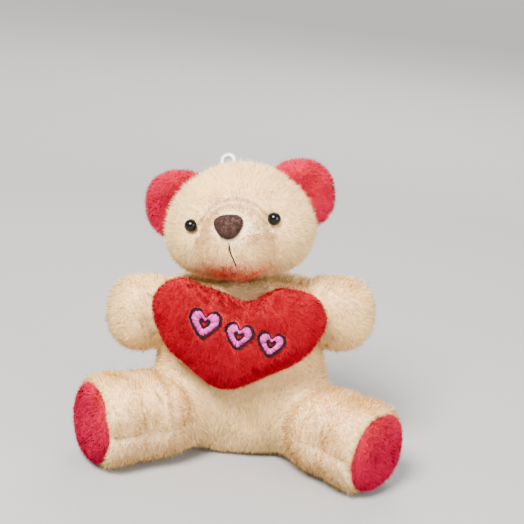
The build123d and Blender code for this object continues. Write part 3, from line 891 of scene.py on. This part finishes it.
# ---------------------------------------------------------------- threads
def threads(name, routes, radius, mats, sides=6):
    """Round threads along routes of points in mm, thinner at their ends, each in one of the tones."""
    verts, faces, index = [], [], []
    for route in routes:
        route = np.asarray(route, float)
        along = unit(np.gradient(route, axis=0))
        across = unit(np.cross(along, (0.31, 0.52, 0.79)))
        lift = np.cross(along, across)
        thick = radius * (0.6 + 0.4 * np.sin(pi * np.linspace(0.04, 0.96, len(route))) ** 0.4)
        start = len(verts)
        for k in range(len(route)):
            for j in range(sides):
                turn = 2 * pi * j / sides
                verts.append(route[k] + thick[k] * (across[k] * cos(turn) + lift[k] * sin(turn)))
        ring = range(sides)
        for k in range(len(route) - 1):
            for j in ring:
                a = start + k * sides + j
                b = start + k * sides + (j + 1) % sides
                faces.append((a, b, b + sides, a + sides))
        faces.append(tuple(start + j for j in reversed(ring)))
        faces.append(tuple(start + (len(route) - 1) * sides + j for j in ring))
        index += [int(rng.integers(len(mats)))] * ((len(route) - 1) * sides + 2)
    obj = mesh_object(name, np.array(verts) * MM, faces, mats)
    obj.data.polygons.foreach_set("material_index", index)
    return obj


def fitting(obj, body, slot, *nodes):
    """A piece that rides on a body and stands for CAD nodes."""
    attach(obj, body)
    if nodes:
        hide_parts(*nodes)
    return obj


# ---------------------------------------------------------------- embroidery
heart_local = heart.into(heart_skin.points)
heart_front = heart_local[heart_local[:, 2] > 0]
heart_tree = KDTree(len(heart_front))
for i, point in enumerate(heart_front):
    heart_tree.insert((point[0], point[1], 0), i)
heart_tree.balance()


def on_heart(xy, lift):
    """Points over the cushion's front, at places in its plane and heights above its skin."""
    depth = []
    for x, y in xy:
        near = heart_tree.find_n((x, y, 0), 4)
        weights = [1 / (gap + 0.05) for _, _, gap in near]
        depth.append(sum(heart_front[i][2] * w for (_, i, _), w in zip(near, weights)) / sum(weights))
    return heart.out(np.column_stack([xy, np.array(depth) + lift]))


SATIN_PITCH = 0.27
SATIN_INNER, SATIN_OUTER = 0.34, 0.86  # shares of the outline
EDGE_SHARES = (0.96, 0.27)
SATIN_RISE = 0.85
SATIN_SLANT = 3  # threads that a stitch leans over, from the inner edge to the outer
STITCH_LENGTH = 1.4
EDGE_SPREAD = 0.42  # between rows of the black edging
ARCH = np.linspace(0, 1, 8)


def satin_stitches(place):
    """Raised threads across one small heart's band, from its inner edge to its outer edge."""
    outer = motif_loop(place, SATIN_OUTER)
    count = int(np.linalg.norm(np.diff(outer, axis=0), axis=1).sum() / SATIN_PITCH)
    pick = (np.arange(count) * LOOP_POINTS / count).astype(int)
    inner, outer = motif_loop(place, SATIN_INNER)[pick], outer[pick]
    routes = []
    for i in range(count):
        a, b = inner[i], outer[(i + SATIN_SLANT) % count]
        wide = 1 + rng.normal(0, 0.02)
        line = a + (b - a) * (ARCH * wide)[:, None]
        routes.append(on_heart(line, 0.15 + SATIN_RISE * np.sin(pi * ARCH) ** 0.55 + rng.normal(0, 0.04)))
    return routes


def edge_stitches(place):
    """Black stitches in two rows, end to end along both edges of one small heart's band."""
    middle = np.array(place[:2])
    routes = []
    for share in EDGE_SHARES:
        loop = motif_loop(place, share)
        length = np.linalg.norm(np.diff(loop, axis=0), axis=1).sum()
        reach = np.linalg.norm(loop - middle, axis=1).mean()
        stitches = int(length / STITCH_LENGTH)
        for row in range(2):
            spread = 1 + (row - 0.5) * EDGE_SPREAD / reach
            for k in range(stitches):
                first = (k + 0.5 * row) / stitches * LOOP_POINTS
                where = (first + np.linspace(0.0, 0.97, 6) * LOOP_POINTS / stitches).astype(int) % LOOP_POINTS
                line = middle + (loop[where] - middle) * spread + rng.normal(0, 0.07, 2)
                bow = 0.3 + 0.22 * np.sin(pi * np.linspace(0, 1, 6))
                routes.append(on_heart(line, bow + 0.12))
    return routes


satin, edging = [], []
for place in MOTIF_PLACES:
    satin += satin_stitches(place)
    edging += edge_stitches(place)
satin_threads = threads("heart_satin", satin, radius=0.2, mats=pink_threads)
fitting(satin_threads, "torso", "pink_thread", "heart_satin_stitching")
edge_threads = threads("heart_edging", edging, radius=0.26, mats=black_threads)
fitting(edge_threads, "torso", "black_thread", "heart_outline_stitching")


# ---------------------------------------------------------------- nose, mouth, eyes
NOSE_RADII = (4.3, 3.8, 2.9)
nose_place = Frame(
    head.out(NOSE_PLACE),
    head.turn([(1, 0, 0), (0, sin(NOSE_PITCH), cos(NOSE_PITCH)), (0, -cos(NOSE_PITCH), sin(NOSE_PITCH))]),
)


def nose_form(p):
    """A rounded triangle, wide at the top, domed outwards."""
    taper = 1 + 0.085 * p[:, 1]
    q = p.copy()
    q[:, 0] = q[:, 0] / taper
    return blob(q, (0, 0, 0), NOSE_RADII, 2.35)


nose_skin = Skin(nose_place, nose_form, (0, 0, 0), reach=12, bumps=0.05, seed=71, detail=5)
nose_faces = nose_skin.keep(lambda q: q[:, 2] > -1.2)
nose_base = vary(material("nose_base", BROWN[1], 0.95, specular=0.1), BROWN[0], BROWN[2], 900, bump=0.5)
fitting(skin_object("nose_shape", nose_skin, nose_faces, nose_base), "head", "flocked_nose", "nose")
nose_fuzz = pile(
    "nose_flock", nose_skin, nose_faces, per_mm2=60, length=0.42, width=0.07,
    nap=lambda p, n: np.tile((0.0, 0, -1.0), (len(p), 1)), tones=flock, lean_by=0.25,
)
fitting(nose_fuzz, "head", "flocked_nose")

MOUTH_CENTRE = (0.5, -11.8, -4.9)
MOUTH_POINTS = 24
falls = np.radians(np.linspace(-2, -41, MOUTH_POINTS))
mouth_rays = np.stack([0.012 * np.sin(falls * 9), -np.cos(falls), np.sin(falls)], 1)
mouth_line = reach_to(head_form, MOUTH_CENTRE, mouth_rays, 30)
mouth_line[:, 0] += -0.5 + np.linspace(0, 1, MOUTH_POINTS) ** 1.6
mouth_line += mouth_rays * 0.75
mouth_routes = [head.out(mouth_line[:14]), head.out(mouth_line[12:] + np.array((0.12, 0, 0)))]
mouth_threads = threads("mouth_stitch", mouth_routes, radius=0.24, mats=black_threads)
fitting(mouth_threads, "head", "black_thread", "mouth_thread")

bead = material("eye_gloss", (0.001, 0.001, 0.001), 0.1, specular=0.3)
vary(bead, (0.0005, 0.0005, 0.0008), (0.002, 0.002, 0.002), 300, bump=0.02, bump_scale=400)
for name in SIDES:
    for bead_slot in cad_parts[f"{name}_eye"].material_slots:
        bead_slot.material = bead


# ---------------------------------------------------------------- hanging loop
LOOP_X, LOOP_BACK = -3.5, radians(15)
LOOP_EYE_HEIGHT = 22.6  # of the eye's middle over the head's
HEAD_HALF_WIDTH, HEAD_HALF_HEIGHT = 25.3, 19.3
HEAD_TOP = HEAD_HALF_HEIGHT * (1 - (LOOP_X / HEAD_HALF_WIDTH) ** 2) ** 0.5
RING, RING_WIDE, RING_DEEP = 2.12, 1.0, 1.05  # the ring's radius, and half its section's width and depth
loop_axes = np.array([(1, 0, 0), (0, cos(LOOP_BACK), -sin(LOOP_BACK)), (0, sin(LOOP_BACK), cos(LOOP_BACK))])
loop_place = Frame(head.out(np.array((LOOP_X, 0, 0)) + HEAD_TOP * loop_axes[2]), head.turn(loop_axes))


def turned_ring(rounds, profile, centre_height):
    """A closed ring: profile points (outwards, sideways) carried round the loop's upright plane."""
    verts, faces = [], []
    n = len(profile)
    for i in range(rounds):
        angle = 2 * pi * i / rounds
        for outwards, sideways in profile:
            verts.append((sin(angle) * outwards, sideways, centre_height + cos(angle) * outwards))
    for i in range(rounds):
        for j in range(n):
            a, b = i * n + j, i * n + (j + 1) % n
            c, d = (i + 1) % rounds * n + (j + 1) % n, (i + 1) % rounds * n + j
            faces.append((a, b, c, d))
    return verts, faces


def loop_shape():
    """The moulded eye with its short stem, flaring where it enters the crown."""
    around = np.linspace(0, 2 * pi, 20, endpoint=False)
    wide = np.sign(np.cos(around)) * np.abs(np.cos(around)) ** 0.8
    deep = np.sign(np.sin(around)) * np.abs(np.sin(around)) ** 0.8
    profile = [(RING + RING_WIDE * a, RING_DEEP * b) for a, b in zip(wide, deep)]
    eye_height = LOOP_EYE_HEIGHT - HEAD_TOP
    verts, faces = turned_ring(56, profile, eye_height)
    stem = [(1.9, -2.6), (1.75, -1.6), (1.3, -0.4), (1.15, 0.2), (1.1, 0.9), (1.0, 1.2)]
    start, sides = len(verts), 28
    for radius, height in stem:
        for j in range(sides):
            angle = 2 * pi * j / sides
            verts.append((radius * cos(angle), radius * sin(angle), height + eye_height - RING - 0.9))
    for k in range(len(stem) - 1):
        for j in range(sides):
            a, b = start + k * sides + j, start + k * sides + (j + 1) % sides
            faces.append((a, b, b + sides, a + sides))
    faces.append(tuple(start + j for j in reversed(range(sides))))
    faces.append(tuple(start + (len(stem) - 1) * sides + j for j in range(sides)))
    return verts, faces


loop_verts, loop_faces = loop_shape()
moulded = material("loop_moulded", (0.5, 0.5, 0.49), 0.22, coat=0.5)
vary(moulded, (0.40, 0.40, 0.395), (0.54, 0.54, 0.53), 220, bump=0.08, bump_scale=260)
hanging_eye = mesh_object("hanging_eye", loop_place.out(loop_verts) * MM, loop_faces, [moulded])
fitting(hanging_eye, "hang_loop", "loop_plastic", "hang_loop")


# ---------------------------------------------------------------- seams
CREASE_STEPS = 60


def crease(name):
    """Where a thigh meets the torso: points round the leg, on both skins."""
    where = leg_frame(name)
    length = LEG_LENGTH[name]
    along = np.linspace(-9, 15, CREASE_STEPS)
    starts = np.column_stack([along, np.zeros(CREASE_STEPS), np.zeros(CREASE_STEPS)])
    points = []
    for turn in np.radians(np.linspace(-40, 215, 90)):
        ray = np.array((0, cos(turn), sin(turn)))
        low, high = np.zeros(CREASE_STEPS), np.full(CREASE_STEPS, 20.0)
        for _ in range(14):
            middle = (low + high) / 2
            inside = leg_form(starts + ray * middle[:, None], length) < 0
            low, high = np.where(inside, middle, low), np.where(inside, high, middle)
        surface = starts + ray * low[:, None]
        buried = torso_form(lean.into(where.out(surface)))
        out = np.nonzero(buried > 0)[0]
        if len(out) and out[0] > 0:
            points.append(surface[out[0]] + ray * 0.9)
    return where.out(np.array(points))


HIP_STITCH = 4  # points in each stitch

for name in SIDES:
    line = crease(name)
    line = line[line[:, 2] > 1.5]
    routes = [line[i : i + HIP_STITCH] for i in range(0, len(line) - HIP_STITCH, HIP_STITCH + 2)]
    hip_threads = threads(f"{name}_hip_stitches", routes, radius=0.16, mats=pale_threads)
    fitting(hip_threads, "torso", "cream_thread")

CLOSING_FOOT, CLOSING_PITCH, CLOSING_STITCHES = 16, 3.2, 6
closing = []
for step in range(CLOSING_STITCHES):
    height = CLOSING_FOOT + step * CLOSING_PITCH
    start = reach_to(torso_form, (0, -1, height), np.array([(0.0, 1.0, 0.0)]), 40)[0]
    slant = np.linspace(-1.7, 1.7, 6)
    rise = 0.75 + 0.35 * np.sin(pi * np.linspace(0, 1, 6))
    closing.append(lean.out(np.stack([start[0] + slant, start[1] + rise, start[2] + slant * 0.5], 1)))
closing_threads = threads("back_closing", closing, radius=0.28, mats=pale_threads)
fitting(closing_threads, "torso", "cream_thread", "back_closing_stitches")


# ---------------------------------------------------------------- camera, lights, floor
TILT, ROLL, DISTANCE = radians(18), radians(5.5), 450.0
HALF_VIEW = 90.5  # seen each side of the aim, at DISTANCE
AIM_RIGHT, AIM_UP = 7.2, 63.8
SET_BACK = 25  # the aim is this far in front of the bear's origin
view = np.array((0, cos(TILT), -sin(TILT)))
flat_up = np.array((0, sin(TILT), cos(TILT)))
right = np.array((1.0, 0, 0)) * cos(ROLL) + flat_up * sin(ROLL)
up = flat_up * cos(ROLL) - np.array((1.0, 0, 0)) * sin(ROLL)
spot = right * AIM_RIGHT + up * AIM_UP - view * (DISTANCE + SET_BACK)
camera_data = bpy.data.cameras.new("camera")
camera_data.angle = 2 * np.arctan(HALF_VIEW / DISTANCE)
camera_data.clip_start = 0.01
camera = bpy.data.objects.new("camera", camera_data)
camera_rows = np.column_stack([right, up, -view, spot * MM]).tolist()
camera.matrix_world = Matrix([*camera_rows, [0, 0, 0, 1]])
bpy.context.scene.collection.objects.link(camera)
bpy.context.scene.camera = camera


def area_light(name, place, aim, size, watts, color=(1, 1, 1)):
    data = bpy.data.lights.new(name, "AREA")
    data.shape = "DISK"
    data.size = size
    data.energy = watts
    data.color = color
    o = bpy.data.objects.new(name, data)
    o.location = place
    o.rotation_euler = (Vector(aim) - Vector(place)).to_track_quat("-Z", "Y").to_euler()
    bpy.context.scene.collection.objects.link(o)


area_light("key", (-0.28, -0.55, 0.8), (0, 0, 0.05), size=0.4, watts=40, color=(1, 0.97, 0.93))
area_light("fill", (0.6, -0.5, 0.35), (0, 0, 0.05), size=0.6, watts=8, color=(1, 0.98, 0.96))
area_light("back", (0.1, 0.6, 0.6), (0, 0, 0.07), size=0.5, watts=7)

FLOOR_TONE, FLOOR_EDGE_TONE = (0.32, 0.316, 0.312), (0.8, 0.785, 0.77)
FLOOR_EDGE = 3.0  # metres to the floor's edge, where it has the world's tone, so that no horizon shows


def floor_material():
    m = material("floor", FLOOR_TONE, 0.9, specular=0.0)
    nodes, links = m.node_tree.nodes, m.node_tree.links
    place = nodes.new("ShaderNodeTexCoord")
    away = nodes.new("ShaderNodeVectorMath")
    away.operation = "LENGTH"
    share = nodes.new("ShaderNodeMapRange")
    share.inputs["From Min"].default_value = 0.35
    share.inputs["From Max"].default_value = FLOOR_EDGE * 0.65
    tone = nodes.new("ShaderNodeMix")
    tone.data_type = "RGBA"
    tone.inputs["A"].default_value = (*FLOOR_TONE, 1)
    tone.inputs["B"].default_value = (*FLOOR_EDGE_TONE, 1)
    links.new(place.outputs["Object"], away.inputs[0])
    links.new(away.outputs["Value"], share.inputs["Value"])
    links.new(share.outputs["Result"], tone.inputs["Factor"])
    links.new(tone.outputs["Result"], nodes["Principled BSDF"].inputs["Base Color"])
    return m


corners = [(FLOOR_EDGE * x, FLOOR_EDGE * y, 0) for x, y in ((-1, -1), (1, -1), (1, 1), (-1, 1))]
floor = mesh_object("floor", corners, [(0, 1, 2, 3)], [floor_material()])
world = bpy.data.worlds.new("studio")
bpy.context.scene.world = world
world.use_nodes = True
background = world.node_tree.nodes["Background"]
background.inputs["Color"].default_value = (1, 0.98, 0.96, 1)
background.inputs["Strength"].default_value = 0.85
